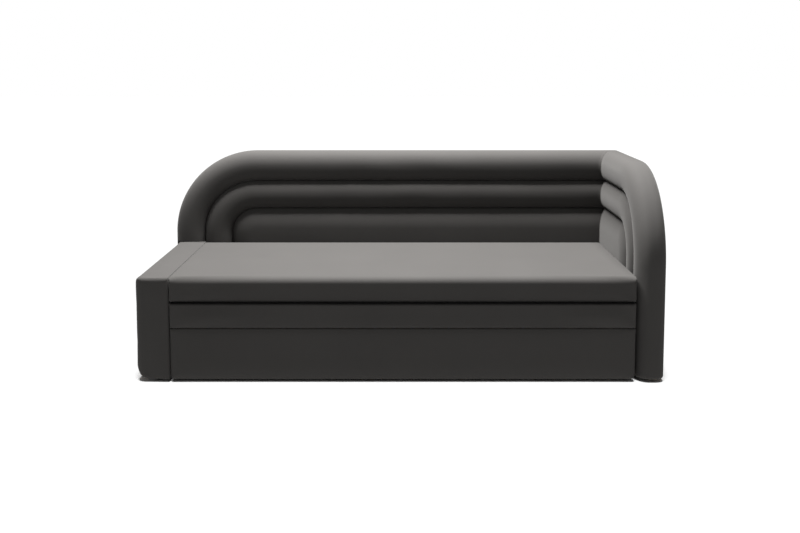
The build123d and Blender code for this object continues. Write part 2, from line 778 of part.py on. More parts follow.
wheel_names = ("front_left_wheel", "rear_left_wheel", "front_right_wheel", "rear_right_wheel")
for name, (middle, row) in zip(wheel_names, castor_places):
    with BuildPart() as wheel:
        add_rod(side_plane(middle - wheel_width / 2), [(row, wheel_radius)], wheel_radius, wheel_width)
        rims = wheel.edges().filter_by(GeomType.CIRCLE)
        fillet(rims, cheek)
        add_rod(side_plane(middle - wheel_width / 2), [(row, wheel_radius)], axle_radius + axle_clearance,
                wheel_width, Mode.SUBTRACT)
    finish(wheel, name)

print(f"overall {overall_width} x {overall_depth} x {overall_height}, seat {seat_top}, travel {travel}")
print(f"crease at y {crease_y}, z {crease_z}; wheels at {castor_places}")
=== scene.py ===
# %% [markdown]
# A corner daybed in charcoal velour
# ---------------------------------
# The bed is upholstered all over: fat sewn rolls on the back and the side, two foam mattress leaves, a soft
# low arm and a padded panel on the pull-out base. Wood, steel and castors show only when it is opened.
# The frame comes first, because every soft piece is placed from it. One unit is a metre.

# %% Load the frame
import bpy, json
from math import atan, atan2, copysign, cos, degrees, exp, hypot, pi, radians, sin, sqrt, tanh
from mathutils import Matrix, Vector, noise


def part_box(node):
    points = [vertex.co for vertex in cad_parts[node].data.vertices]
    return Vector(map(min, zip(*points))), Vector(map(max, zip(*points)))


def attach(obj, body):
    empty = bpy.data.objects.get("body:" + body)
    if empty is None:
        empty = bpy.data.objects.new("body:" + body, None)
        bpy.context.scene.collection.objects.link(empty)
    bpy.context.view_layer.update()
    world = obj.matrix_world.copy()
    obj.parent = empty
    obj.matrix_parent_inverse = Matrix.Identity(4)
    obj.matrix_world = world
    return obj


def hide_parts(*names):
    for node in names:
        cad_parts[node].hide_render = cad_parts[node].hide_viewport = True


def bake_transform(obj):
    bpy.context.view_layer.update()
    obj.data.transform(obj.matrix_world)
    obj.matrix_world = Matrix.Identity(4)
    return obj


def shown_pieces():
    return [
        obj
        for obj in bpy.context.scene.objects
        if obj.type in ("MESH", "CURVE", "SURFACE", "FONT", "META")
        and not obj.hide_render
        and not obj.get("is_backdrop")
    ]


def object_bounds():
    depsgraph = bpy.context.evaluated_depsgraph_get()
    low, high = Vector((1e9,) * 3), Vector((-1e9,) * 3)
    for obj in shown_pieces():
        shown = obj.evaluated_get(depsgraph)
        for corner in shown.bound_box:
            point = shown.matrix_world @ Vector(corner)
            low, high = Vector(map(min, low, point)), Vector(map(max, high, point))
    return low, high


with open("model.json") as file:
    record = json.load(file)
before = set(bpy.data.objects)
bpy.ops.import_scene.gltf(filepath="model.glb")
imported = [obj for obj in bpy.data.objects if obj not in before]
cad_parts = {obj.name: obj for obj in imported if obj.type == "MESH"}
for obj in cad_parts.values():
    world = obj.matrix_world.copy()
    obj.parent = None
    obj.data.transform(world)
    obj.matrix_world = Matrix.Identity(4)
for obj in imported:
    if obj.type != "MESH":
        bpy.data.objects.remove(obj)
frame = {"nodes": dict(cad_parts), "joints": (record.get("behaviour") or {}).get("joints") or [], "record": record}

cad_low, cad_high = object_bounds()
print("the frame spans", [round(high - low, 3) for low, high in zip(cad_low, cad_high)])

# %% [markdown]
# The camera stands straight in front, a little above the back of the bed. A view camera keeps upright edges
# upright by sliding its film down instead of tilting, which is the lens shift here. A shift of 0.259 would do
# all of it; here part is shift and the rest is a small tilt, so that the bed stays in view from other sides.

# %% Camera
camera_height = 1.350
camera_distance = 3.993
lens_length = 44.01
sensor_width = 36.0
upright_shift = 0.259
lens_shift = 0.14
tilt = atan((upright_shift - lens_shift) * sensor_width / lens_length)

camera_data = bpy.data.cameras.new("camera")
camera = bpy.data.objects.new("camera", camera_data)
bpy.context.scene.collection.objects.link(camera)
bpy.context.scene.camera = camera
camera_data.sensor_width = sensor_width
camera_data.lens = lens_length
camera_data.shift_y = -lens_shift
camera.location = (0, cad_low.y - camera_distance, camera_height)
camera.rotation_euler = (pi / 2 - tilt, 0, 0)
print("camera tilt", round(degrees(tilt), 2), "lens", round(camera_data.lens, 1))

# %% [markdown]
# Shader maths reads best as plain sums. A small class wraps one socket, and its operators add the Math nodes.
# Any other node comes from one method, which sets the node's own settings before its sockets.

# %% Shader maths
class Value:
    """A number that changes over a surface, as one node socket."""

    def __init__(self, finish, socket):
        self.finish = finish
        self.socket = socket

    def maths(self, operation, other, swapped=False):
        pair = (other, self) if swapped else (self, other)
        return self.finish.node("ShaderNodeMath", {"operation": operation}, dict(enumerate(pair)))

    def __add__(self, other):
        return self.maths("ADD", other)

    def __radd__(self, other):
        return self.maths("ADD", other, True)

    def __mul__(self, other):
        return self.maths("MULTIPLY", other)

    def __rmul__(self, other):
        return self.maths("MULTIPLY", other, True)


class Finish:
    """One material, with a Principled shader and the nodes that feed it."""

    def __init__(self, name):
        self.material = bpy.data.materials.new(name)
        self.material.use_nodes = True
        self.tree = self.material.node_tree
        self.shader = self.tree.nodes["Principled BSDF"]
        self.place = self.node("ShaderNodeTexCoord", output="Object")

    def node(self, kind, settings=None, inputs=None, output=0):
        made = self.tree.nodes.new(kind)
        for setting, value in (settings or {}).items():
            if setting == "stops":
                ramp = made.color_ramp
                while len(ramp.elements) < len(value):
                    ramp.elements.new(1.0)
                for element, (position, colour) in zip(ramp.elements, value):
                    element.position = position
                    element.color = colour
            else:
                setattr(made, setting, value)
        for key, value in (inputs or {}).items():
            self.plug(made.inputs[key], value)
        return Value(self, made.outputs[output])

    def plug(self, socket, value):
        """Link a value to a socket, or set the socket to a plain number or colour."""
        if isinstance(value, Value):
            self.tree.links.new(value.socket, socket)
        else:
            socket.default_value = value

    def feed(self, **inputs):
        for key, value in inputs.items():
            self.plug(self.shader.inputs[key.replace("_", " ")], value)

    def stretch(self, scale):
        return self.node("ShaderNodeMapping", inputs={"Vector": self.place, "Scale": scale})

    def grain(self, scale, detail=2.0, place=None, roughness=0.5):
        inputs = {"Vector": place or self.place, "Scale": scale, "Detail": detail, "Roughness": roughness}
        return self.node("ShaderNodeTexNoise", inputs=inputs)

    def blend(self, share, first, second):
        """Mix two colours. A Mix node's colour sockets are numbers 6 and 7, and its colour comes out at 2."""
        return self.node("ShaderNodeMix", {"data_type": "RGBA"}, {0: share, 6: first, 7: second}, 2)

    def bump(self, height, distance, strength=1.0):
        inputs = {"Height": height, "Distance": distance, "Strength": strength}
        return self.node("ShaderNodeBump", inputs=inputs)


# %% [markdown]
# Velour is a short dense pile. Looked at straight on it swallows light and is nearly black; along its surface
# the tips of the pile catch the light and it turns pale. That is the shader's sheen. The pile also lies a
# little differently from place to place, so the colour drifts slowly, and up close the tufts show as grain.

# %% Charcoal velour
def make_velour():
    finish = Finish("charcoal_velour")
    drift = finish.grain(3.5, 3.0)
    nap = finish.grain(38.0, 3.0, finish.stretch((1.0, 1.0, 0.35)))
    tufts = finish.grain(900.0, 2.0)
    rib = finish.grain(420.0, 1.0, finish.stretch((1.0, 1.0, 0.3)))
    shade = drift * 0.35 + nap * 0.25 + tufts * 0.4
    colour = finish.blend(shade, (0.0262, 0.0246, 0.0233, 1), (0.0440, 0.0415, 0.0392, 1))
    height = tufts * 0.6 + rib * 0.4
    finish.feed(Base_Color=colour, Roughness=0.82 + nap * 0.1, Sheen_Weight=0.10, Sheen_Roughness=0.42)
    finish.feed(Sheen_Tint=(0.95, 0.93, 0.90, 1), Specular_IOR_Level=0.25)
    finish.feed(Normal=finish.bump(height, 0.0004, 0.5))
    return finish.material


velour = make_velour()
print("made", velour.name)

# %% [markdown]
# The hidden frame is plain furniture stock. Pine has long grain along the piece, chipboard is a mat of
# flakes, hardboard is smooth and brown, the beam is powder coated, and the small metal parts are zinc plated.
# The hinge tape is woven charcoal cloth, painted near black at the fold as painted shade for the deep gap.

# %% Wood, board, metal and plastic
def make_wood(name, pale, dark, along, rings=26.0):
    finish = Finish(name)
    lengthways = finish.stretch(tuple(0.06 if axis == along else 1.0 for axis in range(3)))
    figure = finish.grain(rings, 4.0, lengthways, 0.6)
    pores = finish.grain(rings * 14, 3.0, lengthways, 0.7)
    ramp = {"stops": [(0.3, (*pale, 1)), (0.62, (*dark, 1))]}
    colour = finish.node("ShaderNodeValToRGB", ramp, {"Fac": figure * 0.8 + pores * 0.2})
    finish.feed(Base_Color=colour, Roughness=0.55 + pores * 0.2, Specular_IOR_Level=0.35)
    finish.feed(Normal=finish.bump(pores, 0.0003, 0.4))
    return finish.material


def make_chipboard():
    finish = Finish("chipboard")
    cells = {"Vector": finish.place, "Scale": 260.0}
    flakes = finish.node("ShaderNodeTexVoronoi", inputs=cells, output="Color")
    dust = finish.grain(700.0, 2.0)
    tone = finish.node("ShaderNodeSeparateColor", inputs={"Color": flakes}) * 0.6 + dust * 0.4
    ramp = {"stops": [(0.2, (0.30, 0.19, 0.10, 1)), (0.8, (0.66, 0.50, 0.32, 1))]}
    finish.feed(Base_Color=finish.node("ShaderNodeValToRGB", ramp, {"Fac": tone}), Roughness=0.8)
    finish.feed(Normal=finish.bump(tone, 0.0003, 0.5))
    return finish.material


def make_smooth(name, colour, roughness, metallic=0.0, speckle=0.15, scale=500.0, depth=0.0001):
    finish = Finish(name)
    grain = finish.grain(scale, 2.0)
    wear = finish.grain(14.0, 3.0)
    low = tuple(part * (1 - speckle) for part in colour)
    high = tuple(min(1.0, part * (1 + speckle)) for part in colour)
    finish.feed(Base_Color=finish.blend(grain * 0.5 + wear * 0.5, (*low, 1), (*high, 1)), Metallic=metallic)
    finish.feed(Roughness=roughness + wear * 0.12, Normal=finish.bump(grain, depth, 0.4))
    return finish.material


def make_tape():
    finish = Finish("cloth_tape")
    threads = {"Vector": finish.place, "Scale": 300.0}
    warp = finish.node("ShaderNodeTexWave", {"bands_direction": "X"}, threads, "Fac")
    weft = finish.node("ShaderNodeTexWave", {"bands_direction": "Y"}, threads, "Fac")
    weave = warp * weft
    # Painted shade: near black at the fold, fading to the charcoal cloth towards the wings, for the deep gap.
    painted_shade_ends, cloth_colour_starts = -0.458, -0.452
    depth = finish.node("ShaderNodeSeparateXYZ", inputs={"Vector": finish.place}, output="Y")
    limits = {"Value": depth, "From Min": painted_shade_ends, "From Max": cloth_colour_starts}
    shown = finish.node("ShaderNodeMapRange", inputs=limits)
    cloth = finish.blend(weave, (0.022, 0.021, 0.020, 1), (0.040, 0.038, 0.036, 1))
    finish.feed(Base_Color=finish.blend(shown, (0.002, 0.002, 0.002, 1), cloth))
    finish.feed(Roughness=0.95, Specular_IOR_Level=0.05, Normal=finish.bump(weave, 0.0002, 0.5))
    return finish.material


pine_across = make_wood("pine_across", (0.72, 0.52, 0.30), (0.50, 0.31, 0.15), 0)
pine_deep = make_wood("pine_deep", (0.72, 0.52, 0.30), (0.50, 0.31, 0.15), 1)
birch = make_wood("birch_slats", (0.80, 0.64, 0.44), (0.66, 0.48, 0.29), 1, 18.0)
chipboard = make_chipboard()
hardboard = make_smooth("hardboard", (0.26, 0.15, 0.08), 0.6, scale=260.0)
powder_coat = make_smooth("powder_coat", (0.025, 0.025, 0.028), 0.45, depth=0.0002)
zinc = make_smooth("zinc", (0.60, 0.60, 0.58), 0.3, metallic=1.0, scale=120.0)
black_plastic = make_smooth("black_plastic", (0.018, 0.018, 0.019), 0.5)
nylon = make_smooth("wheel_nylon", (0.05, 0.05, 0.052), 0.38)
tape_cloth = make_tape()

slot_finishes = {
    "fabric": velour, "tape": tape_cloth, "chipboard": chipboard, "hardboard": hardboard, "pine": pine_deep,
    "slat_wood": birch, "painted_steel": powder_coat, "zinc_steel": zinc, "plastic": black_plastic,
    "wheel": nylon,
}
for part in frame["record"]["subparts"]:
    node = frame["nodes"][part["node"]]
    node.data.materials.clear()
    node.data.materials.append(slot_finishes[part["material_slot"]])
for name in ("back_battens", "rear_slat_rail", "rear_crossbar"):
    frame["nodes"][name].data.materials[0] = pine_across
print("finished", len(frame["nodes"]), "frame nodes")

# %% [markdown]
# Sizes read back from the frame. The soft pieces are drawn against these faces, so they fit it by
# construction: the panels' faces, the crests of the rolls, the seat and the mattress ends.

# %% Sizes from the frame
back_low, back_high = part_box("back_outer_roll")
side_low, side_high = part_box("side_outer_roll")
side_panel_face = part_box("side_inner_panel")[0].x
channel_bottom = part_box("back_inner_pad")[0].z
arm_low, arm_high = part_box("arm_cover")
arch_radius = 0.4
edge_wrap = 0.03
roll_width = 0.138
spring_height = back_high.z - arch_radius
thickness = back_high.y - back_low.y
roll_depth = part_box("back_front_panel")[0].y - back_low.y
panel_depth = thickness - roll_depth
print("rolls stand", round(roll_depth, 4), "proud of panels", round(panel_depth, 4), "deep")

# %% [markdown]
# Working by hand means: select, then act. These few helpers do the selecting in code. `only` picks one
# object, `start` adds a primitive with nothing else selected, `pick` selects what passes a test in edit mode,
# and `settle` ends a piece with its place in its mesh.

# %% Modelling helpers
def only(piece):
    """Make this the only selected object, and the active one."""
    if bpy.context.mode != "OBJECT":
        bpy.ops.object.mode_set(mode="OBJECT")
    bpy.ops.object.select_all(action="DESELECT")
    piece.select_set(True)
    bpy.context.view_layer.objects.active = piece


def start(kind, **settings):
    """Add a primitive by itself, with its size and place in its mesh."""
    bpy.ops.object.select_all(action="DESELECT")
    getattr(bpy.ops.mesh, f"primitive_{kind}_add")(**settings)
    bpy.ops.object.transform_apply(location=True, rotation=True, scale=True)
    return bpy.context.object


def edit_all(piece):
    """Open a piece in edit mode, with all of it selected."""
    only(piece)
    bpy.ops.object.mode_set(mode="EDIT")
    bpy.ops.mesh.select_all(action="SELECT")


def leave_edit():
    bpy.ops.object.mode_set(mode="OBJECT")


def face_outwards():
    bpy.ops.mesh.select_all(action="SELECT")
    bpy.ops.mesh.normals_make_consistent(inside=False)


def extrude(move):
    bpy.ops.mesh.extrude_region_move(TRANSFORM_OT_translate={"value": move})


def pick(piece, kind, test):
    """Select the edges or faces of a piece whose centre passes a test, and stay in edit mode."""
    only(piece)
    bpy.ops.object.mode_set(mode="EDIT")
    bpy.ops.mesh.select_mode(type={"edges": "EDGE", "polygons": "FACE"}[kind])
    bpy.ops.mesh.select_all(action="DESELECT")
    bpy.ops.object.mode_set(mode="OBJECT")
    mesh = piece.data
    chosen = 0
    for element in getattr(mesh, kind):
        if kind == "edges":
            centre = (mesh.vertices[element.vertices[0]].co + mesh.vertices[element.vertices[1]].co) / 2
        else:
            centre = element.center
        element.select = bool(test(centre, element))
        chosen += element.select
    bpy.ops.object.mode_set(mode="EDIT")
    return chosen


def apply_modifiers(piece):
    only(piece)
    for modifier in list(piece.modifiers):
        bpy.ops.object.modifier_apply(modifier=modifier.name)


def cut(piece, low, high):
    """Cut a box out of a piece, as for a board or a bracket that sits in it."""
    cutter = start("cube", size=1, location=(low + high) / 2, scale=high - low)
    modifier = piece.modifiers.new("cut", "BOOLEAN")
    modifier.object = cutter
    modifier.operation = "DIFFERENCE"
    apply_modifiers(piece)
    bpy.data.objects.remove(cutter)


def settle(piece, name, node, body="frame", slot="fabric", crease=40.0):
    """Finish a piece: outward faces, smooth shading, the finish for its slot, its body, and its CAD node hidden.
    """
    edit_all(piece)
    face_outwards()
    leave_edit()
    bpy.ops.object.shade_smooth_by_angle(angle=radians(crease))
    piece.name = name
    piece.data.name = name
    piece.data.materials.clear()
    piece.data.materials.append(slot_finishes[slot])
    if body:
        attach(piece, body)
    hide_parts(node)
    print(name, len(piece.data.polygons), "faces")
    return piece


def round_end(reach, rise, steps=5):
    """Round the rim of the selected flat face: inset it and raise it along a quarter of an ellipse."""
    for step in range(steps):
        before, after = pi / 2 * step / steps, pi / 2 * (step + 1) / steps
        bpy.ops.mesh.inset(thickness=reach * (cos(before) - cos(after)),
                           depth=rise * (sin(after) - sin(before)), use_even_offset=True)


# %% [markdown]
# A channelled roll is foam pulled into a sewn tube. Its section is nearly half an ellipse: it meets the panel
# steeply at both seams, which is why the grooves look so deep. The section is a mesh circle whose points are
# set on that outline, and the roll is made by extruding it up the leg, spinning it round the arch and
# extruding it along the top. The outer roll's section goes on round the edge of the panel to the rear face.
# Neighbouring rolls meet on their seam, so no bare panel shows in a groove.
# Where the back meets the side, both rolls are mitred, so that their crests and grooves run into each other.

# %% Places on the back and on the side
def on_back(inwards, forward, height):
    """Place a point of the back: distance in from its left edge, forward of its rear, and height."""
    return Vector((back_low.x + inwards, back_high.y - forward, height))


def on_side(inwards, forward, height):
    """Place a point of the side: distance in from its front edge, inwards of its outer face, and height."""
    return Vector((side_high.x - forward, side_low.y + inwards, height))


def read_back(point):
    """Read a point's distance in and forward on the back."""
    return point.x - back_low.x, back_high.y - point.y


def read_side(point):
    """Read a point's distance in and forward on the side."""
    return point.y - side_low.y, side_high.x - point.x


seam_gap = 0.0005
mitre_gap = 0.0004
back_reach = side_high.x - thickness - back_low.x - mitre_gap
side_reach = back_low.y - side_low.y - mitre_gap
print("the mitre starts", round(back_reach, 3), "along the back and", round(side_reach, 3), "along the side")

# %% Roll sections
def soft_arc(middle, reach, base, rise, first, last, steps, power=2.25):
    """Return points of a slightly square ellipse, as (distance in, distance forward), between two angles."""
    points = []
    for step in range(steps + 1):
        angle = first + (last - first) * step / steps
        across = copysign(abs(cos(angle)) ** (2 / power), cos(angle))
        points.append((middle + reach * across, base + rise * abs(sin(angle)) ** (2 / power)))
    return points


def straight(start, end, parts):
    """Return the points that divide a line, without its two ends."""
    return [tuple(a + (b - a) * step / parts for a, b in zip(start, end)) for step in range(1, parts)]


sewn = panel_depth + seam_gap
half = roll_width / 2
middle_section = soft_arc(1.5 * roll_width, half, sewn, roll_depth - seam_gap, pi, 0, 36)
middle_section += straight(middle_section[-1], middle_section[0], 10)

shoulder = 0.055
crown = 0.008
outer_section = soft_arc(half, half, sewn, roll_depth - seam_gap, 0, pi / 2, 18)
outer_section += soft_arc(half, half + crown, shoulder, thickness - shoulder, pi / 2, pi, 18)[1:]
outer_section += soft_arc(edge_wrap, edge_wrap + crown, shoulder, -shoulder, pi, pi / 2, 14, 2.8)[1:]
outer_section += straight((edge_wrap, 0), (edge_wrap, panel_depth), 4) + [(edge_wrap, sewn)]
outer_section += straight((edge_wrap, sewn), outer_section[0], 9)
print("sections have", len(middle_section), "and", len(outer_section), "points")

# %% Sweep a section
foot_rises = [0.001, 0.002, 0.003, 0.004, 0.005]


def stand(section, place, bottom, top, ring_pitch):
    """Set a circle's points on a section and extrude it upwards, in close rings at its foot."""
    piece = start("circle", vertices=len(section), fill_type="NGON")
    for vertex, (inwards, forward) in zip(piece.data.vertices, section):
        vertex.co = place(inwards, forward, bottom)
    edit_all(piece)
    rise = top - bottom - sum(foot_rises)
    steps = max(2, round(rise / ring_pitch))
    for lift in foot_rises + [rise / steps] * steps:
        extrude((0, 0, lift))
    return piece


def sweep(section, place, read, bottom, far, ring_pitch=0.012, end_round=0.003):
    """Extrude a section up the leg, spin it round the arch, extrude it along the top, then mitre its end."""
    piece = stand(section, place, bottom, spring_height, ring_pitch)
    across = place(1, 0, 0) - place(0, 0, 0)
    axis = across.cross(Vector((0, 0, 1)))
    bpy.ops.mesh.spin(steps=48, angle=pi / 2, center=place(arch_radius, 0, spring_height), axis=axis)
    run = far - end_round - arch_radius
    steps = max(2, round(run / ring_pitch))
    for step in range(steps):
        extrude(across * run / steps)
    bpy.ops.mesh.select_all(action="SELECT")
    bpy.ops.mesh.remove_doubles(threshold=1e-6)
    face_outwards()
    leave_edit()
    for vertex in piece.data.vertices:
        along, forward = read(vertex.co)
        if along > arch_radius:
            vertex.co += across * (along - arch_radius) / run * (thickness - forward)
    pick(piece, "polygons", lambda centre, face: len(face.vertices) > 8 and abs(face.normal.z) < 0.1)
    round_end(end_round, end_round)
    leave_edit()
    return piece


def round_foot(piece, read, bottom):
    """Draw the lowest rings of a leg in, as a quarter circle, but not where they touch a board."""
    radius = sum(foot_rises)
    for vertex in piece.data.vertices:
        up = (vertex.co.z - bottom) / radius
        along, forward = read(vertex.co)
        on_board = along > edge_wrap - 1e-4 and forward < sewn + 1e-4
        if up < 1 and not on_board:
            flat = Vector((vertex.normal.x, vertex.normal.y, 0)).normalized()
            vertex.co -= flat * radius * (1 - sqrt(1 - (1 - up) ** 2))


# %% [markdown]
# Sewn foam is never quite even. Along each seam the cover is gathered a little, most where the roll bends, so
# the surface is drawn in by short soft dimples that fade within a couple of centimetres of the thread.

# %% Gathers along the seams
def gather(piece, read, seams, depth=0.0011, reach=0.011, pitch=0.034):
    """Draw a roll in along its seams by a slow noise that follows the roll, fading out near its base."""
    slack, slack_pitch, slack_width = 0.0012, 0.19, 0.09
    ease, fade = 0.0006, 0.016
    middle = arch_radius - sum(seams) / len(seams)
    for vertex in piece.data.vertices:
        along, forward = read(vertex.co)
        if forward < panel_depth + 0.003:
            continue
        height = vertex.co.z - spring_height
        if height < 0:
            inwards, travelled, bend = along, height, 0.0
        elif along > arch_radius:
            inwards, travelled, bend = arch_radius - height, middle * pi / 2 + along - arch_radius, 0.0
        else:
            turned = atan2(height, arch_radius - along)
            inwards, travelled = arch_radius - hypot(arch_radius - along, height), middle * turned
            bend = sin(2 * turned)
        nearest = min(abs(inwards - seam) for seam in seams)
        wave = noise.noise(Vector((travelled / pitch, seams[0] * 40, 0)))
        drawn = depth * (1 + bend) * exp(-nearest / reach) * (0.6 + wave)
        slow = slack * noise.noise(Vector((travelled / slack_pitch, inwards / slack_width, seams[0] * 9)))
        clear = min(1.0, (forward - panel_depth) / fade)
        vertex.co -= vertex.normal * (drawn + slow + ease) * clear


# %% The four rolls
above_arm, beside_arm = 0.001, 0.0005
arm_top = arm_high.z + above_arm
beam_low, beam_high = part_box("beam_end_brackets")
outer_seams, middle_seams = [roll_width], [roll_width, 2 * roll_width]

back_middle = sweep(middle_section, on_back, read_back, channel_bottom, back_reach)
gather(back_middle, read_back, middle_seams)
for vertex in back_middle.data.vertices:
    if vertex.co.z < arm_top:
        vertex.co.x = max(vertex.co.x, arm_high.x + beside_arm)
settle(back_middle, "back_roll_2", "back_middle_roll")

side_middle = sweep(middle_section, on_side, read_side, channel_bottom, side_reach)
gather(side_middle, read_side, middle_seams)
settle(side_middle, "side_roll_2", "side_middle_roll")

# %% [markdown]
# On the back, the front layer of the outer roll stops on the arm. Behind the arm only the part that wraps the
# panel's edge goes on to the floor, so that part of the roll's lower end is extruded further down.

# %% Outer rolls
back_outer = sweep(outer_section, on_back, read_back, arm_top, back_reach)
gather(back_outer, read_back, outer_seams)
settle(back_outer, "back_roll_1", "back_outer_roll")

side_outer = sweep(outer_section, on_side, read_side, side_low.z, side_reach)
gather(side_outer, read_side, outer_seams)
round_foot(side_outer, read_side, side_low.z)
pocket_room = 0.002
cut(side_outer, Vector((side_low.x - 0.01, beam_low.y - pocket_room, beam_low.z - pocket_room)),
    Vector((side_panel_face + seam_gap, beam_high.y + pocket_room, beam_high.z + pocket_room)))
settle(side_outer, "side_roll_1", "side_outer_roll")

wrap_section = [point for point in outer_section if point[1] < panel_depth and point[0] <= edge_wrap]
wrap_section.append((edge_wrap, panel_depth))
wrap_pitch = 0.026
wrap = stand(wrap_section, on_back, back_low.z, arm_top - seam_gap, wrap_pitch)
face_outwards()
leave_edit()
round_foot(wrap, read_back, back_low.z)
settle(wrap, "back_edge_wrap", "back_outer_roll")

# %% [markdown]
# The inner pads and the flat covers are all the same shape: a panel with one rounded corner, as the arch has.
# A plane gets its corner by a vertex bevel, is extruded to a thin slab, and its face is inset and raised in
# steps. A deep rise makes a pad that swells out of its seam, a shallow one a cover pulled over a board.

# %% Arched panels
skirt_share = 0.12


def arched(place, near, far, bottom, base, stop, reach, steps):
    """Make a panel from one depth to another, with its rim rounded over this reach."""
    panel = start("plane", size=1)
    top = back_high.z - near
    corners = [(near, bottom), (far, bottom), (near, top), (far, top)]
    for vertex, (inwards, height) in zip(panel.data.vertices, corners):
        vertex.co = place(inwards, base, height)
    only(panel)
    bpy.ops.object.mode_set(mode="EDIT")
    bpy.ops.mesh.select_mode(type="VERT")
    bpy.ops.mesh.select_all(action="DESELECT")
    bpy.ops.object.mode_set(mode="OBJECT")
    panel.data.vertices[2].select = True
    bpy.ops.object.mode_set(mode="EDIT")
    bpy.ops.mesh.bevel(offset=arch_radius - near, segments=28, affect="VERTICES")
    bpy.ops.mesh.select_all(action="SELECT")
    skirt = (stop - base) * skirt_share
    lift = place(0, base + skirt, 0) - place(0, base, 0)
    extrude(lift)
    face_outwards()
    pick(panel, "polygons", lambda centre, face: len(face.vertices) > 8 and face.normal.dot(lift) > 0)
    round_end(reach, abs(stop - base - skirt), steps)
    leave_edit()
    return panel


def trim(panel, place, normal):
    """Cut a panel along an upright plane and close it; what lies along the normal goes."""
    edit_all(panel)
    bpy.ops.mesh.bisect(plane_co=place, plane_no=normal, use_fill=True, clear_outer=True)
    leave_edit()


# %% Inner pads
pad_near = 2 * roll_width
pad_rim = 0.1
past_mitre = roll_depth + pad_rim + 0.02
for name, node, place, run, turn in (("back_pad", "back_inner_pad", on_back, back_reach, 1),
                                     ("side_pad", "side_inner_pad", on_side, side_reach, -1)):
    pad = arched(place, pad_near, run + past_mitre, channel_bottom, sewn, thickness, pad_rim, 12)
    corner = Vector((side_high.x - thickness - turn * mitre_gap, back_low.y, 0))
    trim(pad, corner, Vector((turn, -turn, 0)).normalized())
    settle(pad, name, node)

# %% Rear and outer covers
cover = 0.0055
cover_rim = 0.007
cover_near = edge_wrap + seam_gap
rear_cover_far = side_panel_face - seam_gap - back_low.x
rear_cover = arched(on_back, cover_near, rear_cover_far, back_low.z, cover, 0.0, cover_rim, 5)
settle(rear_cover, "back_rear_cloth", "back_rear_cover")

side_cover = arched(on_side, cover_near, back_high.y - side_low.y, side_low.z, cover, 0.0, cover_rim, 5)
edit_all(side_cover)
return_face = back_high.y - cover
bpy.ops.mesh.bisect(plane_co=(0, return_face, 0), plane_no=(0, 1, 0))
pick(side_cover, "polygons", lambda centre, face: face.normal.x < -0.9 and centre.y > return_face)
extrude((side_panel_face - side_high.x + cover, 0, 0))
settle(side_cover, "side_outer_cloth", "side_outer_cover")

# %% [markdown]
# The mattress leaves, the arm and the pull-out's front are upholstered blocks. Each starts as a cube whose
# edges get their own bevel width through edge weights, then planes cut it into an even grid, because cloth
# needs even faces. Air pressure inside the cloth does what foam does in a tight cover: the faces swell
# between the edges, which are held. The swelling stays within a few millimetres and off the neighbours.

# %% Upholstered blocks
def faces_of(point, low, high):
    """Name the faces of a box that a point lies on."""
    names = set()
    for axis, pair in enumerate((("left", "right"), ("front", "rear"), ("bottom", "top"))):
        for name, limit in zip(pair, (low[axis], high[axis])):
            if abs(point[axis] - limit) < 1e-4:
                names.add(name)
    return names


def soft_block(low, high, rounds, usual, pitch):
    """Start a block from a cube, round each edge by its own width, and cut it into a grid."""
    block = start("cube", size=1, location=(low + high) / 2, scale=high - low)
    mesh = block.data
    widest = max(rounds.values())
    weights = mesh.attributes.new("bevel_weight_edge", "FLOAT", "EDGE")
    for edge in mesh.edges:
        centre = (mesh.vertices[edge.vertices[0]].co + mesh.vertices[edge.vertices[1]].co) / 2
        names = " ".join(sorted(faces_of(centre, low, high)))
        weights.data[edge.index].value = rounds.get(names, usual) / widest
    bevel = block.modifiers.new("rounds", "BEVEL")
    bevel.limit_method = "WEIGHT"
    bevel.width = widest
    bevel.segments = 6
    apply_modifiers(block)
    edit_all(block)
    margin = widest + 0.002
    for axis in range(3):
        span = high[axis] - low[axis] - 2 * margin
        if span < pitch:
            continue
        count = max(1, round(span / pitch))
        direction = Vector([float(axis == other) for other in range(3)])
        for step in range(count + 1):
            place = direction * (low[axis] + margin + span * step / count)
            bpy.ops.mesh.select_all(action="SELECT")
            bpy.ops.mesh.bisect(plane_co=place, plane_no=direction)
    leave_edit()
    return block


def swell(block, held, limit, pressure=4.0, frames=20):
    """Blow the cover up between its held points, and ease the swelling off at a limit."""
    only(block)
    group = block.vertex_groups.new(name="held")
    group.add([vertex.index for vertex in block.data.vertices if held(vertex.co)], 1.0, "REPLACE")
    flat = [vertex.co.copy() for vertex in block.data.vertices]
    cloth = block.modifiers.new("cloth", "CLOTH")
    cloth.settings.vertex_group_mass = "held"
    cloth.settings.quality = 5
    cloth.settings.mass = 0.3
    cloth.settings.tension_stiffness = 20
    cloth.settings.compression_stiffness = 20
    cloth.settings.bending_stiffness = 1.0
    cloth.settings.use_pressure = True
    cloth.settings.uniform_pressure_force = pressure
    cloth.settings.effector_weights.gravity = 0
    cloth.collision_settings.use_collision = False
    cloth.point_cache.frame_start = 1
    cloth.point_cache.frame_end = frames
    for frame_number in range(1, frames + 1):
        bpy.context.scene.frame_set(frame_number)
    apply_modifiers(block)
    bpy.context.scene.frame_set(1)
    furthest = 0.0
    for vertex, first in zip(block.data.vertices, flat):
        move = vertex.co - first
        furthest = max(furthest, move.length)
        if move.length > 1e-9:
            vertex.co = first + move * (limit * tanh(move.length / limit) / move.length)
    block.vertex_groups.clear()
    print("swelled", round(furthest * 1000, 1), "mm, kept to", round(limit * 1000, 1))


def keep_inside(block, low, high):
    """Flatten a block where it reaches its neighbours, and smooth the grid once."""
    for vertex in block.data.vertices:
        vertex.co = [min(max(value, least), most) for value, least, most in zip(vertex.co, low, high)]
    smooth = block.modifiers.new("smooth", "SUBSURF")
    smooth.levels = smooth.render_levels = 1
    apply_modifiers(block)


